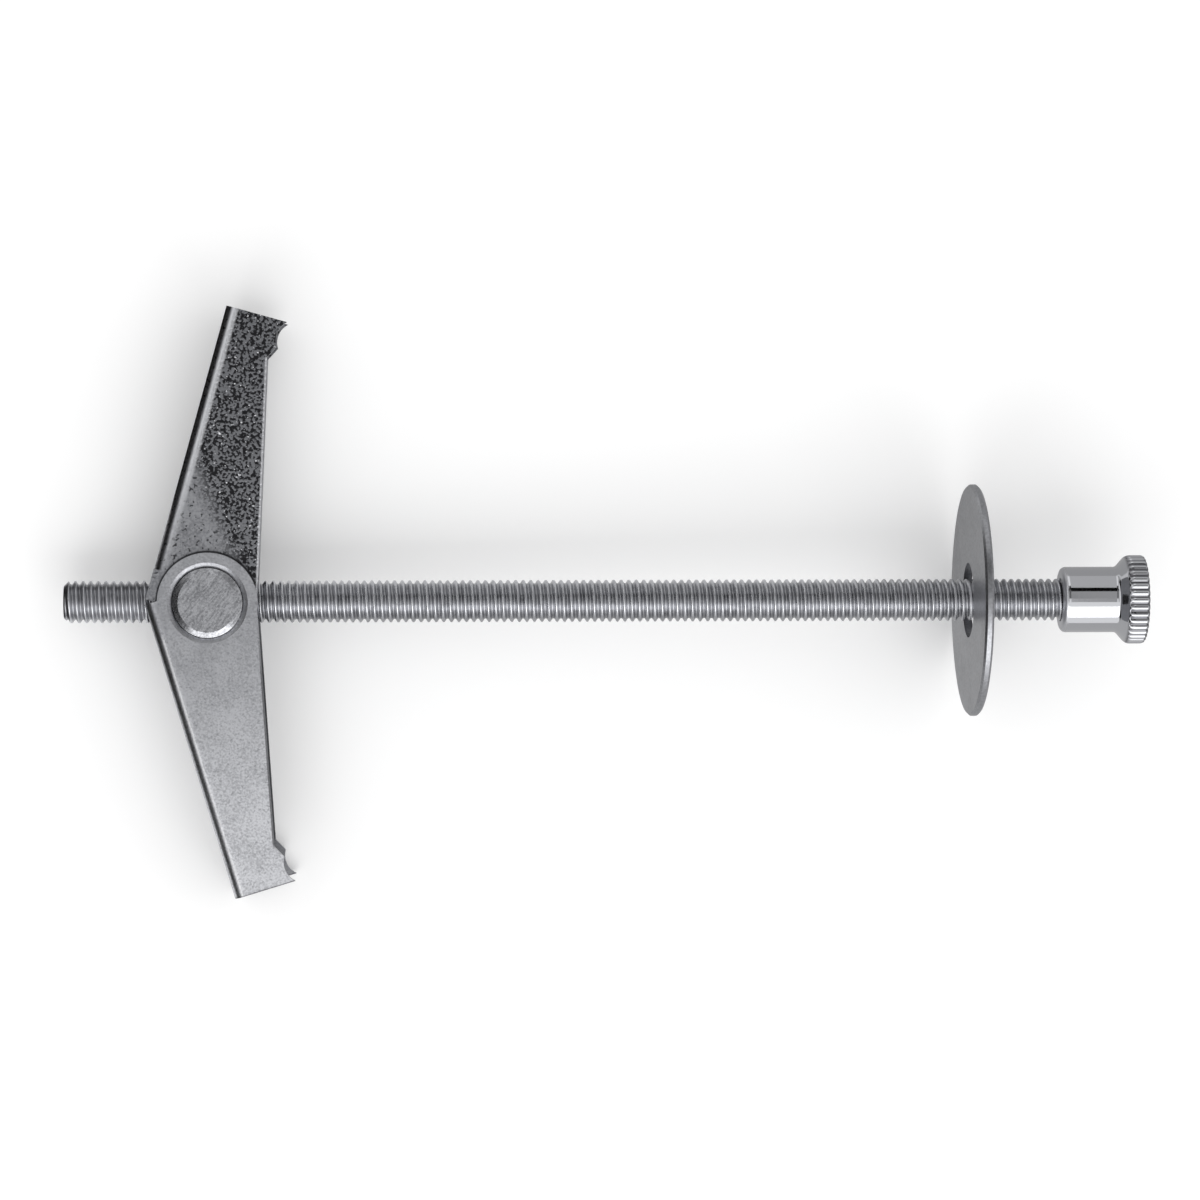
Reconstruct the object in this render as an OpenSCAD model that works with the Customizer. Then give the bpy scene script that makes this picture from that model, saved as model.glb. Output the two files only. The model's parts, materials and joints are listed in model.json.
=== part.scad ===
// Spring toggle anchor: a threaded rod with a sprung pair of folded wings on a cross nut,
// a loose washer and a knurled sleeve nut. It lies on a surface as it would come to rest.
// All lengths are in millimetres and all angles in degrees.

/* [Threaded rod] */
// Outside diameter of the thread
rod_d = 3.9; // [3.6:0.05:4]
// Length of the rod
rod_len = 100; // [95:1:140]
// Length of rod that stands out behind the wings' pivot
rod_tail = 13.3; // [12:0.05:20]
// Chamfer at both ends of the rod
rod_chamfer = 0.45; // [0.2:0.05:0.8]

/* [Trunnion nut] */
// Diameter of the cross nut that the wings turn on
trunnion_d = 6.4; // [6:0.1:6.8]
// Height of its ends above the outer wing
trunnion_proud = 0.25; // [0.2:0.05:0.6]
// Width of the slope round both of its ends
trunnion_chamfer = 0.5; // [0.1:0.05:0.6]
// Angle of that slope, and of the slope round the flange holes, from the flat
bevel_angle = 30; // [20:1:45]

/* [Wings] */
// Thickness of the folded sheet
sheet = 0.8; // [0.6:0.05:0.9]
// Width of the outer wing over its flanges
wing_w = 9.4; // [9.2:0.1:11]
// Distance from the pivot to the back of each wing's web
web_off = 5.55; // [5.4:0.05:6.5]
// Length of each wing from the pivot to its tip
wing_len = 26.7; // [22:0.1:32]
// Radius of the round end of each flange about the pivot
flange_r = 4.6; // [4.3:0.05:4.65]
// Inside radius of the folds
fold_r = 0.25; // [0.2:0.05:0.5]
// Angle between a flange's free edge and its web
edge_taper = 13; // [10:0.5:14]
// Step from the round end in to the free edge
edge_step = 0.1; // [0.05:0.05:0.3]
// Length of web behind the pivot on the outer wing
web_tail = 1.5; // [1:0.05:1.8]
// Distance from the pivot to where the inner wing's web begins
web_start = 1.7; // [1.5:0.1:5]
// Lean of the outer wing from square to the rod when open
open_outer = 16.9; // [12:0.1:22]
// Lean of the inner wing from square to the rod when open
open_inner = 15.5; // [12:0.1:22]
// Width of the slope round the outside of each flange hole
hole_chamfer = 0.42; // [0.1:0.02:0.5]

/* [Wing teeth] */
// Distance between the two teeth at a flange's tip
tooth_pitch = 2.4; // [1.6:0.1:2.8]
// Depth of the round bite between the teeth
tooth_depth = 0.45; // [0.2:0.05:0.7]
// Place of the corner tooth's point in front of the pivot's centre plane
tooth_reach = 0.2; // [0:0.05:0.8]
// Step from the corner tooth's point back to the second tooth's
tooth_back = 0.3; // [0:0.05:0.5]
// Length of the slope from the second tooth down to the free edge
tooth_slope = 1.2; // [0.6:0.1:2]

/* [Spring] */
// Diameter of the spring wire
wire_d = 0.4; // [0.3:0.02:0.42]
// Distance from the pivot to the ends of the spring's legs
leg_reach = 9.5; // [7:0.1:14]
// Bend radius where the middle loop crosses over
loop_r = 0.9; // [0.6:0.1:1.6]

/* [Washer] */
// Outside diameter of the washer
washer_d = 21.5; // [19:0.5:26]
// Diameter of its hole
washer_hole = 6.95; // [6.2:0.05:8]
// Thickness of the washer
washer_t = 0.8; // [0.6:0.05:1.2]
// Chamfer round its outer edges
washer_edge = 0.2; // [0.05:0.05:0.25]
// Lean of the washer from square to the rod
washer_lean = 1.1; // [0:0.1:6]
// Distance from the middle of the washer to the face of the sleeve nut
washer_gap = 8.35; // [6:0.05:20]

/* [Sleeve nut] */
// Diameter of the smooth sleeve
sleeve_d = 6.1; // [5.6:0.1:7]
// Length of the smooth sleeve
sleeve_len = 5.2; // [4:0.1:9]
// Chamfer at the sleeve's face
sleeve_chamfer = 0.6; // [0.3:0.05:0.8]
// Length of the flare between sleeve and rim
flare_len = 0.95; // [0.6:0.05:1.6]
// Diameter of the knurled rim
rim_d = 8.25; // [7.6:0.05:10]
// Length of the knurled rim
rim_len = 1.75; // [1.2:0.05:4]
// Rounding at the outer edge of the rim
rim_round = 0.35; // [0.1:0.05:0.5]
// Number of straight ridges round the rim
ridge_count = 36; // [24:1:48]
// Height of the ridges
ridge_h = 0.22; // [0.1:0.02:0.4]
// Depth of the rod's end inside the sleeve nut
rod_sunk = 0.3; // [0:0.05:1]

/* [Clearances] */
// Radial gap between the rod and the nuts on it
thread_gap = 0.05; // [0.02:0.01:0.1]
// Radial gap between the trunnion and the flange holes
pivot_gap = 0.08; // [0.05:0.01:0.15]
// Gap between the flanges of the two wings
nest_gap = 0.1; // [0.05:0.01:0.15]
// Gap at the stop between the two wings when open
stop_gap = 0.08; // [0.04:0.01:0.2]
// Gap between the rod and the slot in the outer wing's web
slot_gap = 0.25; // [0.15:0.05:0.5]
// Gap between the spring and what it bears on
spring_gap = 0.06; // [0.04:0.01:0.1]
// Gap between the rod and the washer's hole where the washer bears
washer_seat = 0.16; // [0.13:0.01:0.25]

/* [Hidden] */
$fn = 64;
plated = [0.62, 0.63, 0.65];
bright = [0.76, 0.77, 0.79];
spring_steel = [0.42, 0.42, 0.44];
past = 1;

// Sizes across the pivot, from the outer wing inwards
trunnion_len = wing_w + 2 * trunnion_proud;
inner_w = wing_w - 2 * (sheet + nest_gap);
flange_hole_r = trunnion_d / 2 + pivot_gap;
web_face = web_off - sheet;
rod_bore_r = rod_d / 2 + thread_gap;

// Places along the rod, measured from the pivot
rod_end = rod_len - rod_tail;
nut_len = sleeve_len + flare_len + rim_len;
nut_x = rod_end + rod_sunk - nut_len;
washer_x = nut_x - washer_gap;
washer_lift = washer_hole / 2 * cos(washer_lean) - washer_t / 2 * sin(washer_lean) - rod_d / 2 - washer_seat;

// A wing's own plane has its web at negative x and its tip at positive y, with the pivot at zero.
// The free edge leaves the round end just inside it and slopes in to the foot of the teeth.
edge_off = flange_r - edge_step;
function edge_x(y) = (edge_off - y * sin(edge_taper)) / cos(edge_taper);
tooth_foot = wing_len - tooth_pitch - tooth_slope;
tooth_tips = [[tooth_reach, wing_len], [tooth_reach - tooth_back, wing_len - tooth_pitch]];
bite_half = norm(tooth_tips[0] - tooth_tips[1]) / 2;
bite_r = (pow(bite_half, 2) + pow(tooth_depth, 2)) / (2 * tooth_depth);
bite_way = [tooth_pitch, -tooth_back] / (2 * bite_half);
bite_middle = (tooth_tips[0] + tooth_tips[1]) / 2 + (bite_r - tooth_depth) * bite_way;

// The inner wing opens until its horns meet the inner corner at the end of the outer wing's web
opening = open_outer + open_inner;
inner_tail = web_face * sin(opening) - web_tail * cos(opening) - stop_gap;

// Places on the opened wings, in the rod's frame
function outer_point(along, across) = [
    along * sin(open_outer) + across * cos(open_outer),
    across * sin(open_outer) - along * cos(open_outer)
];
function inner_point(along, across) = [
    along * sin(open_inner) + across * cos(open_inner),
    along * cos(open_inner) - across * sin(open_inner)
];

// The three places that touch the surface the anchor lies on, for a surface of given slopes:
// the trunnion's lower rim, the outer wing's tip and the washer's rim
washer_axis = [cos(washer_lean), 0, -sin(washer_lean)];
function unit(a) = a / norm(a);
function trunnion_foot(slope) =
    let (way = unit(slope), r = trunnion_d / 2 - trunnion_chamfer)
    [r * way.x, r * way.y, -trunnion_len / 2];
function wing_foot() =
    let (p = outer_point(wing_len, -web_face + fold_r))
    [p.x, p.y, -wing_w / 2];
function washer_foot(slope) =
    let (up = unit([-slope.x, -slope.y, 1]), tilt = up * washer_axis, way = unit(up - tilt * washer_axis))
    [washer_x, 0, washer_lift] - washer_d / 2 * way - sign(tilt) * (washer_t / 2 - washer_edge) * washer_axis;
function plane_slope(p, q, r) = let (n = cross(q - p, r - p)) [-n.x / n.z, -n.y / n.z];
function settled(slope, rounds) =
    rounds < 1 ? slope
    : settled(plane_slope(trunnion_foot(slope), wing_foot(), washer_foot(slope)), rounds - 1);
first_slope = [-0.06, -0.02];
settling_rounds = 8;
ground = settled(first_slope, settling_rounds);

// The turn that lays that surface level, and the shift that centres the anchor over the origin
roll = atan2(-ground.y, 1);
pitch = atan2(ground.x, sqrt(1 + ground.y * ground.y));
function laid(p) =
    let (y = p.y * cos(roll) - p.z * sin(roll), z = p.y * sin(roll) + p.z * cos(roll))
    [p.x * cos(pitch) + z * sin(pitch), y, z * cos(pitch) - p.x * sin(pitch)];
function on_plane(p, z) = [p.x, p.y, z];
rod_face_r = rod_d / 2 - rod_chamfer;
rim_face_r = rim_d / 2 - rim_round;
left_end = laid([-rod_tail, 0, rod_face_r]);
right_end = laid([nut_x + nut_len, 0, -rim_face_r]);
upper_tip = laid(on_plane(inner_point(wing_len, -web_off), -inner_w / 2 + sheet));
lower_tip = laid(on_plane(outer_point(wing_len, -web_off), wing_w / 2 - sheet));
middle = [(left_end.x + right_end.x) / 2, (upper_tip.y + lower_tip.y) / 2, laid(trunnion_foot(ground)).z];

module lying() {
    translate(-middle)
        rotate([roll, pitch, 0])
            children();
}

// A solid of revolution about the rod, from a profile of radius and place along the rod
module turned(profile) {
    rotate([0, 90, 0])
        rotate_extrude()
            polygon(profile);
}

module threaded_rod() {
    color(plated)
        lying()
            turned([
                [0, -rod_tail],
                [rod_face_r, -rod_tail],
                [rod_d / 2, -rod_tail + rod_chamfer],
                [rod_d / 2, rod_end - rod_chamfer],
                [rod_face_r, rod_end],
                [0, rod_end]
            ]);
}

module trunnion_nut() {
    half = trunnion_len / 2;
    r = trunnion_d / 2;
    rise = trunnion_chamfer * tan(bevel_angle);
    color(plated)
        lying()
            difference() {
                rotate_extrude()
                    polygon([
                        [0, -half],
                        [r - trunnion_chamfer, -half],
                        [r, -half + rise],
                        [r, half - rise],
                        [r - trunnion_chamfer, half],
                        [0, half]
                    ]);
                rotate([0, 90, 0])
                    cylinder(r = rod_bore_r, h = trunnion_d + 2 * past, center = true);
            }
}

// A block with the outline of a flange, its web side running back to the given tail
module flange_block(tail, width) {
    difference() {
        union() {
            cylinder(r = flange_r, h = width, center = true);
            linear_extrude(height = width, center = true)
                polygon([
                    [-web_off, -tail],
                    [-web_off, wing_len],
                    tooth_tips[0],
                    tooth_tips[1],
                    [edge_x(tooth_foot), tooth_foot],
                    [edge_off * cos(edge_taper), edge_off * sin(edge_taper)],
                    [0, -tail]
                ]);
        }
        translate(bite_middle)
            cylinder(r = bite_r, h = width + 2 * past, center = true);
    }
}

// Section of a folded channel: its web on the negative x side, open on the other
module channel_section(width) {
    outer_r = fold_r + sheet;
    difference() {
        translate([-web_off, -width / 2])
            rounded_back(2 * web_off, width, outer_r);
        translate([-web_face, sheet - width / 2])
            rounded_back(2 * web_off, width - 2 * sheet, fold_r);
    }
}

// A rectangle from the origin whose two corners at x = 0 are rounded
module rounded_back(depth, width, r) {
    translate([r, 0])
        square([depth - r, width]);
    translate([0, r])
        square([depth, width - 2 * r]);
    translate([r, r])
        circle(r = r);
    translate([r, width - r])
        circle(r = r);
}

// A channel along a wing, from one place to another
module channel(width, from, to) {
    translate([0, to, 0])
        rotate([90, 0, 0])
            linear_extrude(height = to - from)
                channel_section(width);
}

// The trunnion's holes through both flanges, with their outside edges broken
module flange_holes(width) {
    rise = hole_chamfer * tan(bevel_angle);
    cylinder(r = flange_hole_r, h = width + 2 * past, center = true);
    for (side = [0, 1])
        mirror([0, 0, side])
            translate([0, 0, width / 2 - rise])
                cylinder(r1 = flange_hole_r, r2 = flange_hole_r + 2 * hole_chamfer, h = 2 * rise);
}

// Slot in the outer wing's web that the rod passes through while the wing is open
module rod_slot() {
    slot_r = rod_d / 2 / cos(open_outer) + slot_gap;
    slot_y = -(web_off - sheet / 2) * tan(open_outer);
    translate([-web_off - past, slot_y, 0])
        rotate([0, 90, 0])
            cylinder(r = slot_r, h = sheet + fold_r + past);
    translate([-web_off - past, slot_y - web_tail - past, -slot_r])
        cube([sheet + fold_r + past, web_tail + past, 2 * slot_r]);
}

module outer_wing() {
    color(plated)
        lying()
            mirror([0, 1, 0])
                rotate([0, 0, -open_outer])
                    difference() {
                        intersection() {
                            channel(wing_w, -flange_r - past, wing_len + past);
                            flange_block(web_tail, wing_w + 2 * past);
                        }
                        flange_holes(wing_w);
                        rod_slot();
                    }
}

// The inner wing's web stops short of the rod, and its flanges run on flat as two horns
module inner_wing() {
    color(plated)
        lying()
            rotate([0, 0, -open_inner])
                difference() {
                    intersection() {
                        union() {
                            channel(inner_w, web_start, wing_len + past);
                            inner_cheeks();
                        }
                        flange_block(inner_tail, inner_w + 2 * past);
                    }
                    flange_holes(inner_w);
                }
}

module inner_cheeks() {
    for (side = [0, 1])
        mirror([0, 0, side])
            translate([-web_off, -flange_r - past, inner_w / 2 - sheet])
                cube([2 * web_off, flange_r + past + web_start, sheet]);
}

// The spring's coils lie round the trunnion, one on each side of the rod.
// Its two legs press on the outer wing's web and its middle loop on the inner wing's web.
coil_r = trunnion_d / 2 + 2 * spring_gap + wire_d / 2;
leg_lift = web_face - wire_d / 2 - spring_gap;
leg_lead = acos(coil_r / norm([leg_lift, leg_reach])) - atan2(leg_reach, leg_lift);
coil_first = 180 + open_outer - leg_lead;
coil_last = leg_lead - 180 - open_inner;
coil_steps = 44;
coil_pitch = wire_d + spring_gap / 3;
coil_in_z = rod_d / 2 + 2 * spring_gap + wire_d / 2;
coil_out_z = coil_in_z + coil_pitch * (coil_first - coil_last) / 360;
loop_steps = 5;
wire_sides = 8;

function coil_point(share) =
    let (turn = coil_first + (coil_last - coil_first) * share)
    [coil_r * cos(turn), coil_r * sin(turn), coil_out_z + (coil_in_z - coil_out_z) * share];

// A point on the loop's leg, a distance back from its end, at a height across the pivot
function loop_point(back, z) =
    let (root = coil_point(1), tip = on_plane(inner_point(leg_reach, -leg_lift), coil_in_z))
    on_plane(tip - back * unit(tip - root), z);

spring_half = concat(
    [on_plane(outer_point(leg_reach, -leg_lift), coil_out_z)],
    [for (i = [0 : coil_steps]) coil_point(i / coil_steps)],
    [
        for (i = [0 : loop_steps])
            let (turn = 90 * i / loop_steps)
            loop_point(loop_r * (1 - sin(turn)), coil_in_z - loop_r * (1 - cos(turn)))
    ]
);
spring_path = concat(
    spring_half,
    [for (i = [len(spring_half) - 1 : -1 : 0]) [spring_half[i].x, spring_half[i].y, -spring_half[i].z]]
);

function heading(path, i) = unit(path[min(i + 1, len(path) - 1)] - path[max(i - 1, 0)]);
function squared(a, way) = unit(a - (a * way) * way);
function carried(path, i, a) =
    i == len(path) ? []
    : let (b = squared(a, heading(path, i))) concat([b], carried(path, i + 1, b));

// A round wire along a path, its rings carried along without twist
module wire(path) {
    rings = len(path);
    side_on = carried(path, 0, [0, 0, 1]);
    points = [
        for (i = [0 : rings - 1])
            let (a = side_on[i], b = cross(heading(path, i), a))
            for (k = [0 : wire_sides - 1])
                path[i] + wire_d / 2 * (cos(360 * k / wire_sides) * a + sin(360 * k / wire_sides) * b)
    ];
    walls = [
        for (i = [0 : rings - 2])
            for (k = [0 : wire_sides - 1])
                let (m = (k + 1) % wire_sides, low = i * wire_sides, high = low + wire_sides)
                each [[low + k, high + k, high + m], [low + k, high + m, low + m]]
    ];
    first_cap = [for (k = [0 : wire_sides - 1]) k];
    last_cap = [for (k = [wire_sides - 1 : -1 : 0]) (rings - 1) * wire_sides + k];
    polyhedron(points = points, faces = concat(walls, [first_cap, last_cap]), convexity = 6);
}

module torsion_spring() {
    color(spring_steel)
        lying()
            wire(spring_path);
}

module washer() {
    half = washer_t / 2;
    rim_r = washer_d / 2;
    color(plated)
        lying()
            translate([washer_x, 0, washer_lift])
                rotate([0, washer_lean, 0])
                    turned([
                        [washer_hole / 2, -half],
                        [rim_r - washer_edge, -half],
                        [rim_r, -half + washer_edge],
                        [rim_r, half - washer_edge],
                        [rim_r - washer_edge, half],
                        [washer_hole / 2, half]
                    ]);
}

// Outline of the knurled rim: ridges with narrow crests and wider roots,
// whose half widths are shares of the step from ridge to ridge
module knurl_outline() {
    crest_r = rim_d / 2;
    root_r = crest_r - ridge_h;
    crest_half = 0.18;
    root_half = 0.36;
    ridge = [[root_r, -root_half], [crest_r, -crest_half], [crest_r, crest_half], [root_r, root_half]];
    step = 360 / ridge_count;
    polygon([
        for (i = [0 : ridge_count - 1])
            for (corner = ridge)
                let (turn = (i + corner[1]) * step)
                [corner[0] * cos(turn), corner[0] * sin(turn)]
    ]);
}

// The ridges run out on the flare at one end and on the rounded edge at the other,
// so both of those cones reach a little past the ridges' crests
module sleeve_nut() {
    face_r = sleeve_d / 2;
    crest_r = rim_d / 2;
    rim_x = sleeve_len + flare_len;
    flare_run = flare_len / (crest_r - face_r);
    over = rim_round / 2;
    smooth_len = rim_x - ridge_h / 2 * flare_run;
    color(bright)
        lying()
            translate([nut_x, 0, 0])
                difference() {
                    intersection() {
                        turned([
                            [0, 0],
                            [face_r - sleeve_chamfer, 0],
                            [face_r, sleeve_chamfer],
                            [face_r, sleeve_len],
                            [crest_r + over, rim_x + over * flare_run],
                            [crest_r + over, nut_len - rim_round - over],
                            [rim_face_r, nut_len],
                            [0, nut_len]
                        ]);
                        rotate([0, 90, 0])
                            union() {
                                translate([0, 0, -past])
                                    cylinder(r = rim_d, h = smooth_len + past);
                                linear_extrude(height = nut_len + past)
                                    knurl_outline();
                            }
                    }
                    translate([-past, 0, 0])
                        rotate([0, 90, 0])
                            cylinder(r = rod_bore_r, h = nut_len + 2 * past);
                }
}

threaded_rod();
trunnion_nut();
outer_wing();
inner_wing();
torsion_spring();
washer();
sleeve_nut();
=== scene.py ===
"""Looks of a spring toggle anchor: plated finishes, a rolled thread, a ridged nut and a wound spring."""

import json
import logging
import math
from dataclasses import dataclass
from enum import Enum

import bmesh
import bpy
import numpy as np
from mathutils import Matrix, Vector


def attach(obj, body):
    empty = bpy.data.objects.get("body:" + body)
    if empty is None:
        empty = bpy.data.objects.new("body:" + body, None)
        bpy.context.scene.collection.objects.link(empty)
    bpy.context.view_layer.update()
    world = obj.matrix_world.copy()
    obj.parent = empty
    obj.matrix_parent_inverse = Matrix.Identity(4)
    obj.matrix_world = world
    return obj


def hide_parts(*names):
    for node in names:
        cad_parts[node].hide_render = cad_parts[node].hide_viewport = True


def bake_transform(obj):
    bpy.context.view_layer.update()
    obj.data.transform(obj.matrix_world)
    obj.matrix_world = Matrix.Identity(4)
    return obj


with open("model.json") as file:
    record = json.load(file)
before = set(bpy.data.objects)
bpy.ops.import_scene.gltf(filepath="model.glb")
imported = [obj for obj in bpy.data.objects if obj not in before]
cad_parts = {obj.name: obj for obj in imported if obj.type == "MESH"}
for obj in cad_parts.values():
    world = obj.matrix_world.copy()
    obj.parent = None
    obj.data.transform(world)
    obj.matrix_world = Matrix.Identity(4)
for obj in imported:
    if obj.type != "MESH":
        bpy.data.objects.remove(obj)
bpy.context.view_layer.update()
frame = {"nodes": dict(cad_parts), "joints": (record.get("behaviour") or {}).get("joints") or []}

Triple = tuple[float, float, float]
Colour = Triple
Span = tuple[float, float]
Array = np.ndarray
Piece = bpy.types.Object
Material = bpy.types.Material

LOG = logging.getLogger("toggle_anchor")
MM = 0.001
WELD_M = 1e-7  # distance within which a mesh's double points merge
WHITE: Colour = (1.0, 1.0, 1.0)


def tone(*levels: float) -> Colour:
    """Turns a screen colour into the linear colour that a shader takes.

    Args:
        levels: Red, green and blue from 0 to 255.

    Returns:
        The linear colour, by the usual screen curve.
    """
    shares = [level / 255 for level in levels]
    return tuple(s / 12.92 if s <= 0.04045 else ((s + 0.055) / 1.055) ** 2.4 for s in shares)


class Value:
    """The output of a shader node, whose operators add Math nodes."""

    def __init__(self, tree: "NodeTree", socket: bpy.types.NodeSocket) -> None:
        """Keeps the tree and the socket."""
        self.tree = tree
        self.socket = socket

    def _math(self, operation: str, *operands: "Value | float") -> "Value":
        """Adds one Math node on the operands."""
        return self.tree.node("ShaderNodeMath", {"operation": operation}, dict(enumerate(operands)))

    def __add__(self, other: "Value | float") -> "Value":
        """The sum."""
        return self._math("ADD", self, other)

    __radd__ = __add__

    def __sub__(self, other: "Value | float") -> "Value":
        """The difference."""
        return self._math("SUBTRACT", self, other)

    def __rsub__(self, other: float) -> "Value":
        """A number less this value."""
        return self._math("SUBTRACT", other, self)

    def __mul__(self, other: "Value | float") -> "Value":
        """The product."""
        return self._math("MULTIPLY", self, other)

    __rmul__ = __mul__

    def __truediv__(self, other: "Value | float") -> "Value":
        """The quotient."""
        return self._math("DIVIDE", self, other)

    def __rtruediv__(self, other: float) -> "Value":
        """A number over this value."""
        return self._math("DIVIDE", other, self)

    def size(self) -> "Value":
        """The value without its sign."""
        return self._math("ABSOLUTE", self)

    def most(self, other: "Value | float") -> "Value":
        """The larger of the two."""
        return self._math("MAXIMUM", self, other)

    def between(self, low: float, high: float) -> "Value":
        """A smooth step: 0 at low and below, 1 at high and above, also where high is less than low."""
        sockets = {"Value": self, "From Min": low, "From Max": high}
        return self.tree.node("ShaderNodeMapRange", {"interpolation_type": "SMOOTHSTEP"}, sockets)

    def window(self, rise: Span, fall: Span) -> "Value":
        """1 between two spans: a smooth step over the first times one over the second."""
        return self.between(*rise) * self.between(*fall)


class NodeTree:
    """A shader node tree that is written as expressions."""

    def __init__(self, tree: bpy.types.NodeTree) -> None:
        """Empties the tree."""
        self.tree = tree
        tree.nodes.clear()

    def node(self, kind: str, settings: dict, sockets: dict, output: int | str = 0) -> Value:
        """Adds one node.

        Args:
            kind: The node's type.
            settings: Its properties, set first.
            sockets: Its inputs by name or number, each a number, a colour or a Value to link.
            output: The output to hand on.

        Returns:
            The chosen output.
        """
        made = self.tree.nodes.new(kind)
        for key, setting in settings.items():
            setattr(made, key, setting)
        for key, value in sockets.items():
            if isinstance(value, Value):
                self.tree.links.new(value.socket, made.inputs[key])
            else:
                made.inputs[key].default_value = value
        return Value(self, made.outputs[output] if len(made.outputs) else None)

    def vector(self, operation: str, *operands: Value | Triple, output: int | str = 0) -> Value:
        """Adds one Vector Math node on the operands."""
        return self.node("ShaderNodeVectorMath", {"operation": operation}, dict(enumerate(operands)), output)

    def place(self) -> Value:
        """The place on the piece, in metres in the frame's axes."""
        return self.node("ShaderNodeTexCoord", {}, {}, "Object")

    def offset(self, origin: Array) -> Value:
        """The way from an origin to the place on the piece, in metres."""
        return self.vector("SUBTRACT", self.place(), tuple(origin))

    def reach(self, origin: Array, way: Array) -> Value:
        """The distance along a direction from an origin, in millimetres."""
        return self.vector("DOT_PRODUCT", self.offset(origin), tuple(way), output="Value") / MM

    def off_axis(self, origin: Array, way: Array) -> Value:
        """The distance from a line, in millimetres: the length of the cross product with its direction."""
        crossed = self.vector("CROSS_PRODUCT", self.offset(origin), tuple(way))
        return self.vector("LENGTH", crossed, output="Value") / MM

    def noise(
        self, grain_mm: float, detail: float = 2.0, stretch: Triple = (1, 1, 1), turn: Triple = (0, 0, 0)
    ) -> Value:
        """Soft noise whose blotches, half of its cells, are about the given grain across.

        Args:
            grain_mm: Size of a blotch.
            detail: Octaves of finer noise.
            stretch: Scale along each axis after the turn; less than 1 draws the noise out.
            turn: Turn of the pattern in radians.

        Returns:
            The noise, from 0 to 1.
        """
        settings = {"vector_type": "TEXTURE"} if any(turn) else {}
        scale = tuple(1 / s for s in stretch) if settings else stretch
        sockets = {"Vector": self.place(), "Scale": scale, "Rotation": turn}
        mapped = self.node("ShaderNodeMapping", settings, sockets)
        sockets = {"Vector": mapped, "Scale": 0.5 / (grain_mm * MM), "Detail": detail}
        return self.node("ShaderNodeTexNoise", {}, sockets)

    def mix(self, share: Value, first: Value | Colour, second: Value | Colour) -> Value:
        """A colour between two, by a share from 0 to 1, through the Mix node's sockets for colours."""
        ends = [c if isinstance(c, Value) else (*c, 1.0) for c in (first, second)]
        return self.node("ShaderNodeMix", {"data_type": "RGBA"}, {0: share, 6: ends[0], 7: ends[1]}, 2)


@dataclass(frozen=True)
class Bearings:
    """The anchor's own axes, from its joints: along the rod, across it and along the wings' pivot.

    Args:
        pivot: The middle of the cross nut, in metres.
        rod: Unit vector along the rod towards the sleeve nut.
        side: Unit vector square to the rod and to the pivot.
        post: Unit vector along the pivot.
    """

    pivot: Array
    rod: Array
    side: Array
    post: Array

    @classmethod
    def from_joints(cls, joints: list[dict]) -> "Bearings":
        """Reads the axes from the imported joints.

        Args:
            joints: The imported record's joints.

        Returns:
            The axes at rest.
        """
        named = {joint["name"]: joint for joint in joints}
        rod = np.array(named["toggle_travel"]["axis"])
        post = np.array(named["outer_wing_fold"]["axis"])
        post = post - (post @ rod) * rod
        rod, post = rod / np.linalg.norm(rod), post / np.linalg.norm(post)
        return cls(np.array(named["outer_wing_fold"]["pos_m"]), rod, np.cross(post, rod), post)

    def rows(self) -> Array:
        """The three directions, one to a row."""
        return np.stack([self.rod, self.side, self.post])

    def placed(self, local: Array) -> Array:
        """Points given along rod, side and post from the pivot, in the frame's own axes."""
        return self.pivot + local @ self.rows()

    def measured(self, node: str) -> Array:
        """Measures a node of the CAD model.

        Args:
            node: The node's name.

        Returns:
            Its vertices along rod, side and post from the pivot.
        """
        mesh = frame["nodes"][node].data
        points = np.empty(3 * len(mesh.vertices), np.float32)
        mesh.vertices.foreach_get("co", points)
        return (points.reshape(-1, 3) - self.pivot) @ self.rows().T


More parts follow.
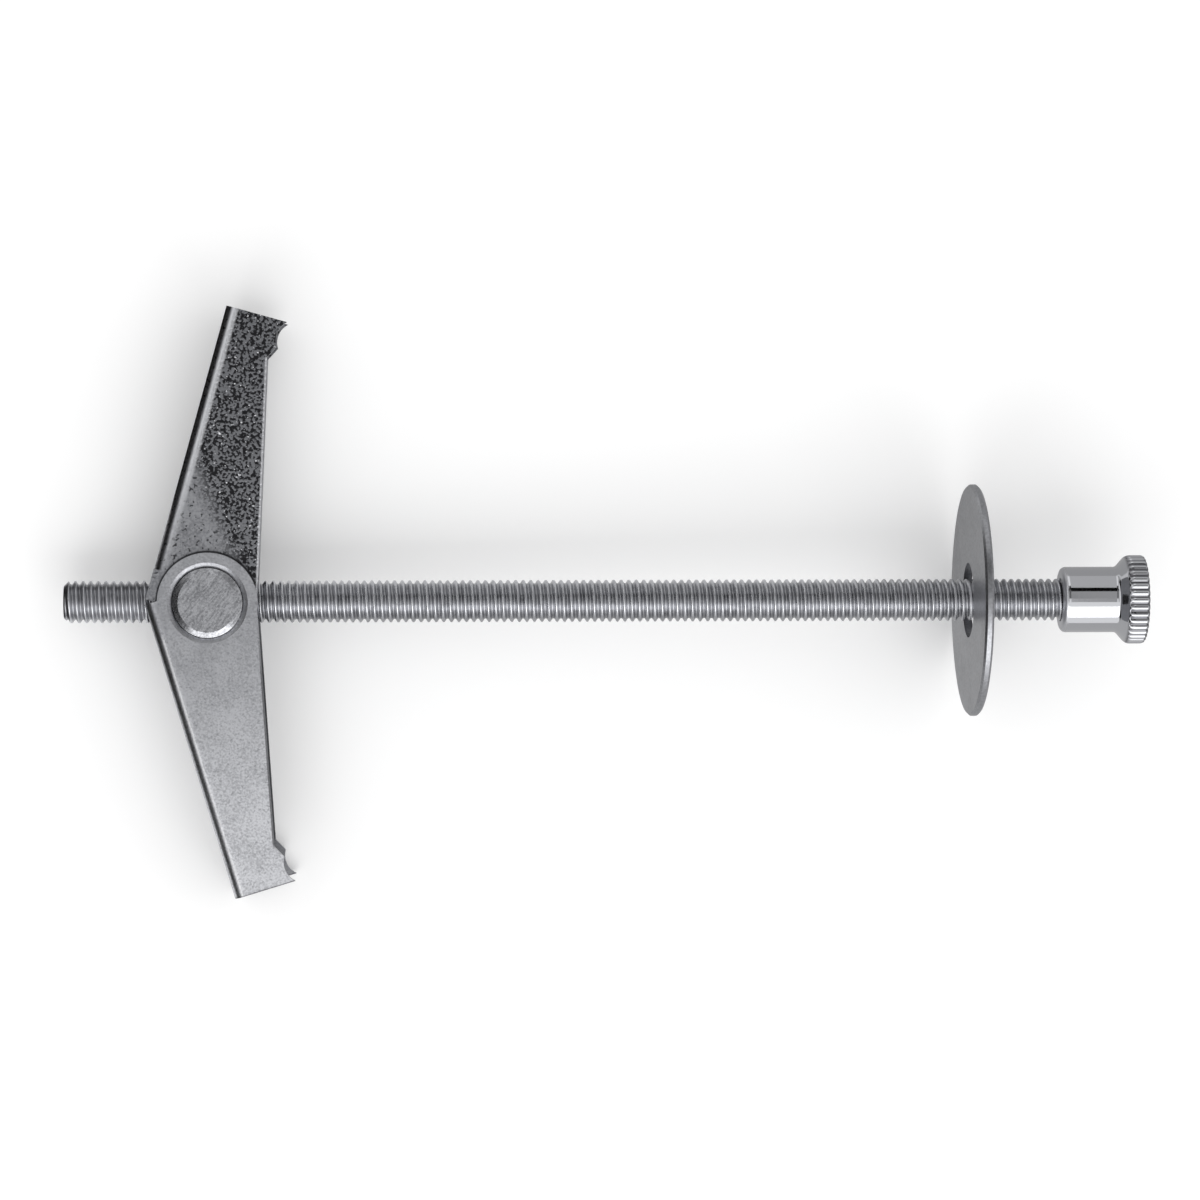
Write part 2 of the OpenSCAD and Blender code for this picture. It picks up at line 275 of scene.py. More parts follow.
@dataclass(frozen=True)
class WingPlane:
    """One wing's own directions, and the places of its edges in millimetres from its pivot.

    Args:
        pivot: The wing's hinge point, in metres.
        along: Unit vector from the pivot to the tip.
        across: Unit vector from the web to the free edge.
        inside_mm: Distance from the rod's axis to the inside of a flange.
    """

    pivot: Array
    along: Array
    across: Array
    inside_mm: float

    TIP_MM = 26.7
    FOLD_ROOT_MM = (1.4, 2.2)
    EDGE_MM, EDGE_SLANT = 4.5, math.radians(13.0)
    EDGE_ENDS_MM = (0.6, 1.4), (23.3, 22.9)

    @classmethod
    def of_joint(cls, axes: Bearings, joint: str, inside_mm: float) -> "WingPlane":
        """Works out a wing's directions: when it is folded to its limit it lies along the rod.

        Args:
            axes: The anchor's axes.
            joint: The name of the wing's hinge.
            inside_mm: Distance from the rod's axis to the inside of a flange.

        Returns:
            The wing's plane at rest.
        """
        hinge = next(j for j in frame["joints"] if j["name"] == joint)
        turn = math.radians(hinge["range_deg"][1]) * math.copysign(1, np.dot(hinge["axis"], axes.post))
        along = math.cos(turn) * axes.rod - math.sin(turn) * axes.side
        across = math.copysign(1, turn) * np.cross(axes.post, along)
        return cls(axes.pivot, along, across, inside_mm)

    @property
    def post(self) -> Array:
        """Unit vector along the pivot."""
        return np.cross(self.along, self.across)

    def along_mm(self, tree: NodeTree) -> Value:
        """How far a place lies along the wing."""
        return tree.reach(self.pivot, self.along)

    def height_mm(self, tree: NodeTree) -> Value:
        """How far a place lies along the pivot, either way."""
        return tree.reach(self.pivot, self.post).size()

    def fold(self, tree: NodeTree, rise: Span, fall: Span) -> Value:
        """A strip beside the fold, between two spans across the wing."""
        across = tree.reach(self.pivot, self.across).window(rise, fall)
        return across * self.along_mm(tree).between(*self.FOLD_ROOT_MM)

    def free_edge(self, tree: NodeTree, width_mm: float) -> Value:
        """A strip along the slanting free edge, from the pivot to the teeth.

        Args:
            tree: The shader tree.
            width_mm: Width of the strip; its inner half fades.

        Returns:
            The strip, from 0 to 1.
        """
        way = math.cos(self.EDGE_SLANT) * self.across + math.sin(self.EDGE_SLANT) * self.along
        strip = tree.reach(self.pivot, way).between(self.EDGE_MM - width_mm, self.EDGE_MM - 0.5 * width_mm)
        return strip * self.along_mm(tree).window(*self.EDGE_ENDS_MM)


@dataclass(frozen=True)
class Finish:
    """A plated metal: its colour, its gloss and how they vary.

    Here and below, a step is the noise and a fade the millimetres where something begins and is full, and
    a share is how much of a colour it takes.

    Args:
        name: The material's name.
        colour: Its linear colour where it is clean.
        dull: Its linear colour where it is stained.
        roughness: Its mean roughness.
        grain_mm: Size of its fine grain.
        relief_mm: Depth of its grain.
    """

    name: str
    colour: Colour
    dull: Colour
    roughness: float
    grain_mm: float
    relief_mm: float

    FINE_SHARE, CLOUD_GRAINS, STAIN_STEP = 0.7, 12, (0.36, 0.68)
    UNEVEN, GLOSS_GRAINS = 0.35, 3
    PIT_GRAINS, PIT_STEP = 1.5, (0.6, 0.7)
    DETAIL, DRAWN, SLANT = 2.0, (1, 1, 1), (0, 0, 0)  # of the relief: octaves, scale by axis and turn

    def stain(self, tree: NodeTree) -> Value:
        """Where the metal is stained: fine grain over soft clouds."""
        fine, clouds = tree.noise(self.grain_mm), tree.noise(self.CLOUD_GRAINS * self.grain_mm)
        return (fine * self.FINE_SHARE + clouds * (1 - self.FINE_SHARE)).between(*self.STAIN_STEP)

    def gloss(self, tree: NodeTree) -> Value:
        """The roughness, a little uneven."""
        patches = tree.noise(self.GLOSS_GRAINS * self.grain_mm) - 0.5
        return self.roughness + patches * (self.UNEVEN * self.roughness)

    def height(self, tree: NodeTree) -> Value:
        """The relief, from 0 to 1."""
        return tree.noise(self.grain_mm, self.DETAIL, self.DRAWN, self.SLANT)

    def pits(self, tree: NodeTree) -> Value:
        """Scattered small spots, the high places of a noise."""
        return tree.noise(self.PIT_GRAINS * self.grain_mm, 1.0).between(*self.PIT_STEP)

    def tint(self, tree: NodeTree) -> Value:
        """The colour over the surface."""
        return tree.mix(self.stain(tree), self.colour, self.dull)

    def material(self) -> Material:
        """Makes the material.

        Returns:
            A metal whose colour, roughness and relief follow the methods above.
        """
        made = bpy.data.materials.new(self.name)
        made.use_nodes = True
        tree = NodeTree(made.node_tree)
        bump = tree.node("ShaderNodeBump", {}, {
            "Height": self.height(tree), "Distance": self.relief_mm * MM, "Strength": 1.0,
        })
        metal = tree.node("ShaderNodeBsdfPrincipled", {}, {
            "Base Color": self.tint(tree), "Metallic": 1.0, "Roughness": self.gloss(tree), "Normal": bump,
        })
        tree.node("ShaderNodeOutputMaterial", {}, {"Surface": metal})
        return made


@dataclass(frozen=True)
class SpeckledZinc(Finish):
    """Zinc sheet with coarse black speckle, plain beside its folds and in the corner by the pivot.

    Args:
        plane: The wing's own directions.
        black: Linear colour of the specks.
        highlight_colour: Linear colour of the painted highlights.
        speck_mm: Size of a speck.
    """

    plane: WingPlane
    black: Colour
    highlight_colour: Colour
    speck_mm: float

    SPECK_STEP = (0.59, 0.42)
    FLANGE_FADE, SKIN_MM = (-4.9, -4.4), 0.1
    WEB_FADE, WEB_HEIGHT_FADE = (-5.3, -5.4), (2.9, 2.5)
    CORNER_SLOPE, CORNER_MM, CORNER_FADE = 0.8, 6.2, (-1.2, 1.4)
    STRAY_MM, STRAY_GRAIN_MM = 3.0, 1.0
    # darkness of the pits, and of the painted gap shadow ring round the pivot
    DIRT_SHARE, RING_FADES = 0.85, ((4.5, 4.62), (4.85, 4.72))
    # painted highlights: a strip beside the fold, glints between the specks and a light line on the free edge
    STRIP_SHARE, STRIP_FADES, STRIP_ALONG_FADE = 0.75, ((-5.15, -5.0), (-4.25, -4.55)), (-2, 14)
    POINT_MM, POINT_STEP = 0.11, (0.76, 0.82)
    EDGE_SHARE, EDGE_WIDTH_MM = 0.7, 0.2
    GRAIN_SHARE = 0.4

    def cover(self, tree: NodeTree) -> Value:
        """Where specks lie: off the folds and the inside, past a slanting line from the pivot to the web.

        Args:
            tree: The shader tree.

        Returns:
            The cover, from 0 to 1.
        """
        along, across = self.plane.along_mm(tree), tree.reach(self.plane.pivot, self.plane.across)
        height, inside = self.plane.height_mm(tree), self.plane.inside_mm
        flange = across.between(*self.FLANGE_FADE) * height.between(inside, inside + self.SKIN_MM)
        web = across.between(*self.WEB_FADE) * height.between(*self.WEB_HEIGHT_FADE)
        strays = tree.noise(self.STRAY_GRAIN_MM) * self.STRAY_MM
        past = across + along * self.CORNER_SLOPE + strays - self.CORNER_MM
        return flange.most(web) * past.between(*self.CORNER_FADE)

    def specks(self, tree: NodeTree) -> Value:
        """The specks themselves: the low places of a noise."""
        return tree.noise(self.speck_mm, 1.0).between(*self.SPECK_STEP)

    def tint(self, tree: NodeTree) -> Value:
        """Clouded zinc under the specks, darker where they lie thick, then a painted gap shadow and painted
        highlights.

        Args:
            tree: The shader tree.

        Returns:
            The colour over the surface.
        """
        cover = self.cover(tree)
        plain = tree.mix(self.pits(tree) * self.DIRT_SHARE, super().tint(tree), self.black)
        ground = tree.mix(cover, plain, self.dull)
        specked = tree.mix(cover * self.specks(tree), ground, self.black)
        # painted shadow: a dark ring where the other wing's flange turns over this one
        shadowed = tree.mix(self.painted_gap_shadow(tree) * self.DIRT_SHARE, specked, self.black)
        # painted highlights over the rest
        return tree.mix(self.painted_highlights(tree), shadowed, self.highlight_colour)

    def painted_highlights(self, tree: NodeTree) -> Value:
        """Painted highlights: a strip beside the fold, the free edge and glints between the specks.

        Args:
            tree: The shader tree.

        Returns:
            The share of the painted highlight colour.
        """
        fold_highlight = self.plane.along_mm(tree).between(*self.STRIP_ALONG_FADE) * self.STRIP_SHARE
        strip = self.plane.fold(tree, *self.STRIP_FADES) * fold_highlight
        points = tree.noise(self.POINT_MM, 0.0).between(*self.POINT_STEP) * self.cover(tree)
        edge = self.plane.free_edge(tree, self.EDGE_WIDTH_MM) * self.EDGE_SHARE
        return strip.most(points).most(edge)

    def painted_gap_shadow(self, tree: NodeTree) -> Value:
        """Painted shadow: a thin dark ring round the pivot, where the other wing's flange turns over this
        one.
        """
        return tree.off_axis(self.plane.pivot, self.plane.post).window(*self.RING_FADES)

    def height(self, tree: NodeTree) -> Value:
        """Fine grain, with the specks pitted."""
        return tree.noise(self.grain_mm) * self.GRAIN_SHARE - self.cover(tree) * self.specks(tree)


@dataclass(frozen=True)
class SmoothZinc(Finish):
    """Zinc sheet with a faint even grain, lighter towards the wing's tip.

    Args:
        plane: The wing's own directions.
        shade: Linear colour by the pivot.
        cut: Linear colour of the cut edges.
    """

    plane: WingPlane
    shade: Colour
    cut: Colour

    SHADE_FADE = (0, 24)
    MOTTLE_SHARE, MOTTLE_GRAINS, MOTTLE_STEP, MOTTLE_FADE = 0.35, 5, (0.42, 0.7), (15, 1)
    STAIN_SHARE, PIT_SHARE = 0.5, 0.4
    # a painted highlight beside the fold
    STRIP_SHARE, STRIP_FADES = 0.35, ((-4.97, -4.9), (-4.68, -4.78))
    # painted shade on the flanges' inside faces, within the channel
    INSIDE_SHARE, INSIDE_FADE = 0.8, (0.09, 0.01)
    TIP_SHARE, TIP_FADE = 0.6, (-0.14, -0.06)
    EDGE_SHARE, EDGE_WIDTH_MM, EDGE_FADE = 0.75, 0.17, (2, 9)

    def tint(self, tree: NodeTree) -> Value:
        """From the shade by the pivot to the colour at the tip, with faint stains, a painted highlight beside
        the fold, painted shade inside the flanges and dark cut edges.

        Args:
            tree: The shader tree.

        Returns:
            The colour over the surface.
        """
        along = self.plane.along_mm(tree)
        ground = tree.mix(along.between(*self.SHADE_FADE), self.shade, self.colour)
        mottle = tree.noise(self.MOTTLE_GRAINS * self.grain_mm).between(*self.MOTTLE_STEP)
        mottle = mottle * along.between(*self.MOTTLE_FADE) * self.MOTTLE_SHARE
        stained = tree.mix((self.stain(tree) * self.STAIN_SHARE).most(mottle), ground, self.dull)
        pitted = tree.mix(self.pits(tree) * self.PIT_SHARE, stained, self.dull)
        # painted highlight: a white strip beside the fold
        fold_highlight = tree.mix(self.plane.fold(tree, *self.STRIP_FADES) * self.STRIP_SHARE, pitted, WHITE)
        # painted shade: the flanges' inside faces darkened towards the dull colour
        inside = (self.plane.height_mm(tree) - self.plane.inside_mm).between(*self.INSIDE_FADE)
        inside_shaded = tree.mix(inside * self.INSIDE_SHARE, fold_highlight, self.dull)
        tip = (along - self.plane.TIP_MM).between(*self.TIP_FADE) * self.TIP_SHARE
        bare = along.between(*self.EDGE_FADE) * self.EDGE_SHARE
        edge = self.plane.free_edge(tree, self.EDGE_WIDTH_MM) * bare
        return tree.mix(edge.most(tip), inside_shaded, self.cut)


@dataclass(frozen=True)
class SawnZinc(Finish):
    """Plated bar stock whose ends keep faint slanting tool marks."""

    MARK_SHARE, STAIN_STEP = 0.5, (0.34, 0.68)
    DRAWN, SLANT = (1, 0.15, 1), (0, 0, math.radians(-40))

    def stain(self, tree: NodeTree) -> Value:
        """Stains that follow the marks."""
        marks, fine = self.height(tree), tree.noise(self.grain_mm)
        return (marks * self.MARK_SHARE + fine * (1 - self.MARK_SHARE)).between(*self.STAIN_STEP)


@dataclass(frozen=True)
class RolledThread(Finish):
    """A plated rolled thread, bright on its crests and dark in its roots.

    Args:
        axes: The anchor's axes.
        root_mm: Radius of the roots.
        crest_mm: Radius of the crests.
    """

    axes: Bearings
    root_mm: float
    crest_mm: float

    ROOT_SHARE = 0.5
    PATCH_SHARE, PATCH_MM, PATCH_STEP = 0.3, 0.5, (0.45, 0.75)
    TAIL_FADE, TAIL_ROUGH = (-4.6, -6.0), 0.1

    def stain(self, tree: NodeTree) -> Value:
        """Dark in the roots, with uneven patches along the rod."""
        deep = tree.off_axis(self.axes.pivot, self.axes.rod).between(self.crest_mm, self.root_mm)
        return deep * self.ROOT_SHARE + tree.noise(self.PATCH_MM).between(*self.PATCH_STEP) * self.PATCH_SHARE

    def gloss(self, tree: NodeTree) -> Value:
        """The roughness, a little uneven, and duller on the tail behind the wings."""
        along = tree.reach(self.axes.pivot, self.axes.rod)
        return super().gloss(tree) + along.between(*self.TAIL_FADE) * self.TAIL_ROUGH


@dataclass(frozen=True)
class SatinZinc(Finish):
    """Rolled zinc-plated sheet with fine lines drawn out across the washer."""

    DETAIL, DRAWN = 3.0, (1, 1, 0.06)


@dataclass(frozen=True)
class BrightNickel(Finish):
    """Bright plating with fine turning lines round it, dark between the ridges of its rim.

    Args:
        axes: The anchor's axes.
        rim_mm: Place along the rod where the ridges begin.
        nose_mm: Place along the rod where the sloped nose ends.
        root_mm: Radius between the ridges.
        crest_mm: Radius of the ridges.
    """

    axes: Bearings
    rim_mm: float
    nose_mm: float
    root_mm: float
    crest_mm: float

    RIM_FADE = (-0.3, 0)
    RIDGE_EDGE_MM, FLOOR_FADE = 0.03, (-0.2, -0.05)
    NOSE_FADE, NOSE_ROUGH = (0.05, -0.4), 0.25
    DRAWN = (1, 0.05, 0.05)

    def stain(self, tree: NodeTree) -> Value:
        """Dark in the valleys of the rim, but not on the end face inside them.

        Args:
            tree: The shader tree.

        Returns:
            The share of the dull colour.
        """
        radius = tree.off_axis(self.axes.pivot, self.axes.rod)
        ridged = (tree.reach(self.axes.pivot, self.axes.rod) - self.rim_mm).between(*self.RIM_FADE)
        valley = radius.between(self.crest_mm - self.RIDGE_EDGE_MM, self.root_mm + self.RIDGE_EDGE_MM)
        outside = (radius - self.root_mm).between(*self.FLOOR_FADE)
        return ridged * (valley * outside)

    def gloss(self, tree: NodeTree) -> Value:
        """Bright on the sleeve and the rim, and duller on the nose."""
        past = tree.reach(self.axes.pivot, self.axes.rod) - self.nose_mm
        return self.roughness + past.between(*self.NOSE_FADE) * self.NOSE_ROUGH


def plain_material(name: str, shader: str, sockets: dict) -> Material:
    """Makes a material of one shader that is the same all over.

    Args:
        name: The material's name.
        shader: The shader node's type.
        sockets: The shader's inputs.

    Returns:
        The material.
    """
    made = bpy.data.materials.new(name)
    made.use_nodes = True
    tree = NodeTree(made.node_tree)
    tree.node("ShaderNodeOutputMaterial", {}, {"Surface": tree.node(shader, {}, sockets)})
    return made


def grid_quads(rows: int, columns: int, closed: bool) -> Array:
    """Corners of the quads of a grid of points that are numbered row by row.

    Args:
        rows: Number of rows.
        columns: Number of points in a row.
        closed: Whether each row's last point joins its first.

    Returns:
        An array of four corners to a quad.
    """
    across = np.arange(columns if closed else columns - 1)
    row, column = np.meshgrid(np.arange(rows - 1) * columns, across, indexing="ij")
    ahead = (column + 1) % columns
    corners = [row + column, row + ahead, row + columns + ahead, row + columns + column]
    return np.stack(corners, -1).reshape(-1, 4)


def mesh_object(name: str, points: Array, quads: Array, material: Material, weld_m: float = 0.0) -> Piece:
    """Makes a smooth mesh object at the origin.

    Args:
        name: The object's name.
        points: Places of its vertices in metres.
        quads: Corners of its faces.
        material: Its finish.
        weld_m: Distance within which vertices merge, after which faces turn outwards; 0 does neither.

    Returns:
        The object, in the scene.
    """
    mesh = bpy.data.meshes.new(name)
    mesh.from_pydata(points.reshape(-1, 3).tolist(), [], quads.tolist())
    if weld_m:
        work = bmesh.new()
        work.from_mesh(mesh)
        bmesh.ops.remove_doubles(work, verts=work.verts, dist=weld_m)
        bmesh.ops.recalc_face_normals(work, faces=work.faces)
        work.to_mesh(mesh)
        work.free()
    mesh.polygons.foreach_set("use_smooth", np.ones(len(mesh.polygons), bool))
    mesh.update()
    mesh.materials.append(material)
    made = bpy.data.objects.new(name, mesh)
    bpy.context.scene.collection.objects.link(made)
    return made


def unit(vectors: Array) -> Array:
    """Vectors scaled to a length of 1."""
    return vectors / np.linalg.norm(vectors, axis=-1, keepdims=True)


def round_rod(along: Array, radius: Array, turn: Array) -> Array:
    """Points along rod, side and post, from places along the rod, radii and angles round it."""
    return np.stack([along, radius * np.cos(turn), radius * np.sin(turn)], -1)


@dataclass
class ThreadedRod:
    """The rod, with its helical thread.

    Args:
        axes: The anchor's axes.
        pitch: Distance from thread to thread.
        depth: Height of the thread.
        flat: Share of the pitch's half that is level at crest and root.
        chamfer: Slope of the rod's ends, as a length.
        steps: Points across one thread.
        sides: Points round the rod.
    """

    axes: Bearings
    pitch: float = 0.7 * MM
    depth: float = 0.32 * MM
    flat: float = 0.12
    chamfer: float = 0.45 * MM
    steps: int = 10
    sides: int = 44

    SPARE = 2  # threads past each end
    RINGS = 4  # rings of points on a flat end

    def __post_init__(self) -> None:
        """Measures the rod that the thread goes round."""
        solid = self.axes.measured("threaded_rod")
        self.start, self.end = solid[:, 0].min(), solid[:, 0].max()
        self.radius = np.hypot(solid[:, 1], solid[:, 2]).max()

    def surface(self) -> tuple[Array, Array]:
        """The thread as one sheared grid.

        A row follows the helix, so its place along the rod grows by one pitch in a turn, and its radius is
        the same all the way: a triangle wave of the row's phase, levelled at crest and root. A turn's last
        point joins the point one pitch on. Rows past an end are drawn back to it and to the chamfer's cone.

        Returns:
            Points along rod, side and post, and the quads' corners.
        """
        rows = self.steps * (math.ceil((self.end - self.start) / self.pitch) + 2 * self.SPARE) + 1
        row, column = np.meshgrid(np.arange(rows), np.arange(self.sides), indexing="ij")
        along = self.start + self.pitch * (row / self.steps + column / self.sides - self.SPARE)
        wave = 1 - np.abs(2 * (row / self.steps % 1) - 1)
        rise = np.clip((wave - self.flat) / (1 - 2 * self.flat), 0, 1)
        rise = rise * rise * (3 - 2 * rise)
        along = np.clip(along, self.start, self.end)
        cone = self.radius - self.chamfer + np.minimum(along - self.start, self.end - along)
        radius = np.minimum(self.radius - self.depth * (1 - rise), cone)
        points = round_rod(along, radius, 2 * np.pi * column / self.sides)
        plain = grid_quads(rows, self.sides, False)
        low = np.arange(rows - self.steps - 1)
        last, first = low * self.sides + self.sides - 1, (low + self.steps) * self.sides
        joining = np.stack([last, first, first + self.sides, last + self.sides], -1)
        return points.reshape(-1, 3), np.vstack([plain, joining])

    def caps(self) -> tuple[Array, Array]:
        """The two flat ends: rings that shrink to the middle.

        Returns:
            Points along rod, side and post, and the quads' corners.
        """
        round_turn = 2 * np.pi * np.arange(self.sides) / self.sides
        share, turn = np.meshgrid(np.linspace(1, 0, self.RINGS), round_turn, indexing="ij")
        radius = share * (self.radius - self.chamfer)
        ring = round_rod(np.zeros_like(radius), radius, turn).reshape(-1, 3)
        quads = grid_quads(self.RINGS, self.sides, True)
        ends = [ring + [place, 0, 0] for place in (self.start, self.end)]
        return np.vstack(ends), np.vstack([quads, quads + len(ring)])

    def build(self, material: Material) -> Piece:
        """Makes the rod and puts it in its body.

        Args:
            material: The rod's finish.

        Returns:
            The rod.
        """
        wall, wall_quads = self.surface()
        ends, end_quads = self.caps()
        points = self.axes.placed(np.vstack([wall, ends]))
        quads = np.vstack([wall_quads, end_quads + len(wall)])
        rod = mesh_object("rolled_thread_rod", points, quads, material, WELD_M)
        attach(rod, "rod")
        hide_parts("threaded_rod")
        return rod


@dataclass
class SleeveNut:
    """The bright nut: a sleeve with a round nose, a flare and a ridged rim, bored through.

    Args:
        axes: The anchor's axes.
        sleeve_r: Radius of the sleeve.
        bore_r: Radius of the bore.
        flare: Length of the flare.
        rim: Length of the rim.
        ridges: Number of ridges round the rim.
        ridge_h: Height of a ridge.
        ridge_fade: Length over which the ridges fade in.
        rounding_mm: Length of each corner's rounding, from the bore's mouth over the nose.
        support: Length of the short straight beside each rounded corner.
        sides: Points across one ridge.
        bend: Points round one corner.
    """

    axes: Bearings
    sleeve_r: float = 3.05 * MM
    bore_r: float = 2.0 * MM
    flare: float = 0.95 * MM
    rim: float = 1.75 * MM
    ridges: int = 36
    ridge_h: float = 0.22 * MM
    ridge_fade: float = 0.1 * MM
    rounding_mm: tuple[float, ...] = (0.1, 0.6, 0.25, 0.4, 0.4, 0.1)
    support: float = 0.05 * MM
    sides: int = 8
    bend: int = 9

    def __post_init__(self) -> None:
        """Measures the solid that the nut stands for."""
        solid = self.axes.measured("sleeve_nut")
        self.start, self.end = solid[:, 0].min(), solid[:, 0].max()
        self.rim_start = self.end - self.rim
        self.rim_r = np.hypot(solid[:, 1], solid[:, 2]).max()

    def profile(self) -> Array:
        """The outline, along the rod and out from its axis, with every corner rounded.

        A corner is a parabola between a point before it and a point after it, at the corner's own distance
        along the two sides, with one more point a short way up each side so that the straights shade flat.

        Returns:
            The outline's points, in order round the nut's section.
        """
        corners = np.array([
            [self.start, self.bore_r], [self.start, self.sleeve_r],
            [self.rim_start - self.flare, self.sleeve_r], [self.rim_start, self.rim_r],
            [self.end, self.rim_r], [self.end, self.bore_r],
        ])
        reach = np.array(self.rounding_mm)[:, None] * MM
        before = unit(np.roll(corners, 1, axis=0) - corners)
        after = unit(np.roll(corners, -1, axis=0) - corners)
        share = np.linspace(0, 1, self.bend)[None, :, None]
        first, last = corners + before * reach, corners + after * reach
        curve = (1 - share) ** 2 * first[:, None] + 2 * share * (1 - share) * corners[:, None]
        curve = curve + share ** 2 * last[:, None]
        leads = [(first + before * self.support)[:, None], curve, (last + after * self.support)[:, None]]
        return np.concatenate(leads, axis=1).reshape(-1, 2)

    def surface(self) -> Array:
        """The outline carried round the rod, cut back between the ridges of the rim.

        The cut is the ridge's height times one less the size of the cosine of half the ridges' angle, so that
        ridges are round and valleys are sharp. It fades in over the flare's edge.

        Returns:
            Rows of points along rod, side and post.
        """
        outline = self.profile()
        outline = np.vstack([outline, outline[:1]])
        count = self.ridges * self.sides
        turn = 2 * np.pi * np.arange(count) / count
        fade = np.clip((outline[:, 0] - self.rim_start) / self.ridge_fade + 1, 0, 1)
        fade = fade * (outline[:, 1] > self.sleeve_r)
        cut = self.ridge_h * fade[:, None] * (1 - np.abs(np.cos(self.ridges * turn / 2)))
        radius = outline[:, 1:] - cut
        return round_rod(np.broadcast_to(outline[:, :1], radius.shape), radius, turn)

    def build(self, material: Material) -> Piece:
        """Makes the nut and puts it in its body.

        Args:
            material: The nut's finish.

        Returns:
            The nut.
        """
        rows = self.surface()
        points = self.axes.placed(rows.reshape(-1, 3))
        nut = mesh_object("ridged_sleeve_nut", points, grid_quads(*rows.shape[:2], True), material, WELD_M)
        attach(nut, "nut")
        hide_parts("sleeve_nut")
        return nut


@dataclass
class TorsionSpring:
    """The wound spring: a coil on each side of the rod, two legs on the outer wing, a loop on the inner one.

    Args:
        axes: The anchor's axes.
        outer: The outer wing's plane.
        inner: The inner wing's plane.
        wire_r: Radius of the wire.
        gap: Space between the spring and what it bears on.
        play: Space between the spring and the rod, and between it and the inner wing's flanges.
        sheet: Thickness of the wings' sheet.
        leg_reach: Distance from the pivot to the legs' ends.
        loop_r: Bend radius where the loop crosses over.
        sides: Points round the wire.
    """

    axes: Bearings
    outer: WingPlane
    inner: WingPlane
    wire_r: float = 0.19 * MM
    gap: float = 0.06 * MM
    play: float = 0.03 * MM
    sheet: float = 0.8 * MM
    leg_reach: float = 9.5 * MM
    loop_r: float = 0.9 * MM
    sides: int = 14

    END_SHARE, END_WELD_M = 0.8, 1e-8  # size of a wire's blunt end, and what merges its points
    STRAIGHT_POINTS, BEND_POINTS, COIL_POINTS = 8, 9, 49

    def __post_init__(self) -> None:
        """Measures what the spring bears on and works out the coil."""
        trunnion = self.axes.measured("trunnion_nut")
        rod = self.axes.measured("threaded_rod")
        wing = self.axes.measured("outer_wing")
        self.coil_r = np.hypot(trunnion[:, 0], trunnion[:, 1]).max() + 2 * self.gap + self.wire_r
        flange = np.abs(self.axes.measured("inner_wing")[:, 2]).max() - self.sheet
        self.inner_z = np.hypot(rod[:, 1], rod[:, 2]).max() + self.play + self.wire_r
        self.outer_z = flange - self.play - self.wire_r
        web = -(wing[:, :2] @ self.flat(self.outer.across)).min() - self.sheet
        self.lift = web - self.wire_r - self.gap
        lead = math.acos(self.coil_r / math.hypot(self.lift, self.leg_reach))
        lead = lead - math.atan2(self.leg_reach, self.lift)
        self.first = self.bearing(-self.outer.across) + 2 * math.pi - lead
        self.last = self.bearing(-self.inner.across) - 2 * math.pi + lead

    def flat(self, way: Array) -> Array:
        """A direction's parts along rod and side."""
        return np.array([way @ self.axes.rod, way @ self.axes.side])

    def bearing(self, way: Array) -> float:
        """The angle of a direction round the pivot, from the rod's."""
        along, side = self.flat(way)
        return math.atan2(side, along)

    def coil(self, shares: Array, side: int) -> Array:
        """The coil's centre line: a circle about the pivot that closes in towards the rod.

        Args:
            shares: Shares of the way from the leg to the loop.
            side: 1 above the rod, -1 below it.

        Returns:
            Points along rod, side and post.
        """
        turn = self.first + (self.last - self.first) * shares
        height = self.outer_z + (self.inner_z - self.outer_z) * shares
        return np.stack([self.coil_r * np.cos(turn), self.coil_r * np.sin(turn), side * height], -1)

    def tip(self, plane: WingPlane, height: float) -> Array:
        """The end of a leg that lies on a wing's web, along rod, side and post."""
        return np.append(self.flat(self.leg_reach * plane.along - self.lift * plane.across), height)

    def leg(self, side: int) -> Array:
        """A straight leg, from its free end to the coil: side is 1 above the rod and -1 below it."""
        end, root = self.tip(self.outer, side * self.outer_z), self.coil(np.array([0.0]), side)[0]
        return end + (root - end) * np.linspace(0, 1, self.STRAIGHT_POINTS)[:, None]

    def loop(self) -> Array:
        """The middle loop: out along the inner wing's web, round a bend, across the rod, and back.

        Returns:
            Points along rod, side and post.
        """
        root = self.coil(np.array([1.0]), 1)[0]
        tip = self.tip(self.inner, self.inner_z)
        way = unit(tip - root)
        bend = np.linspace(0, math.pi / 2, self.BEND_POINTS)[:, None]
        corner = tip - self.loop_r * (1 - np.sin(bend)) * way
        corner[:, 2] = self.inner_z - self.loop_r * (1 - np.cos(bend[:, 0]))
        straight = root + (corner[0] - root) * np.linspace(0, 1, self.STRAIGHT_POINTS)[:-1, None]
        half = np.vstack([straight, corner])
        return np.vstack([half, half[::-1] * [1, 1, -1]])

    def wire(self, name: str, path: Array, square_to: Array, material: Material) -> Piece:
        """A round wire: a circle carried along a path, closed to a point at both ends.

        Args:
            name: The object's name.
            path: Its centre line along rod, side and post.
            square_to: A direction that the path never follows, which keeps the circle from twisting.
            material: Its finish.

        Returns:
            The wire.
        """
        way = unit(np.gradient(path, axis=0))
        out = unit(square_to - (way @ square_to)[:, None] * way)
        up = np.cross(way, out)
        turn = 2 * np.pi * np.arange(self.sides)[:, None] / self.sides
        circle = np.cos(turn) * out[:, None] + np.sin(turn) * up[:, None]
        end = len(path) - 1
        rows = np.r_[0, 0, np.arange(len(path)), end, end]
        size = np.r_[0, self.END_SHARE, np.ones(len(path)), self.END_SHARE, 0][:, None, None] * self.wire_r
        points = path[rows][:, None] + size * circle[rows]
        placed = self.axes.placed(points.reshape(-1, 3))
        return mesh_object(name, placed, grid_quads(len(rows), self.sides, True), material, self.END_WELD_M)

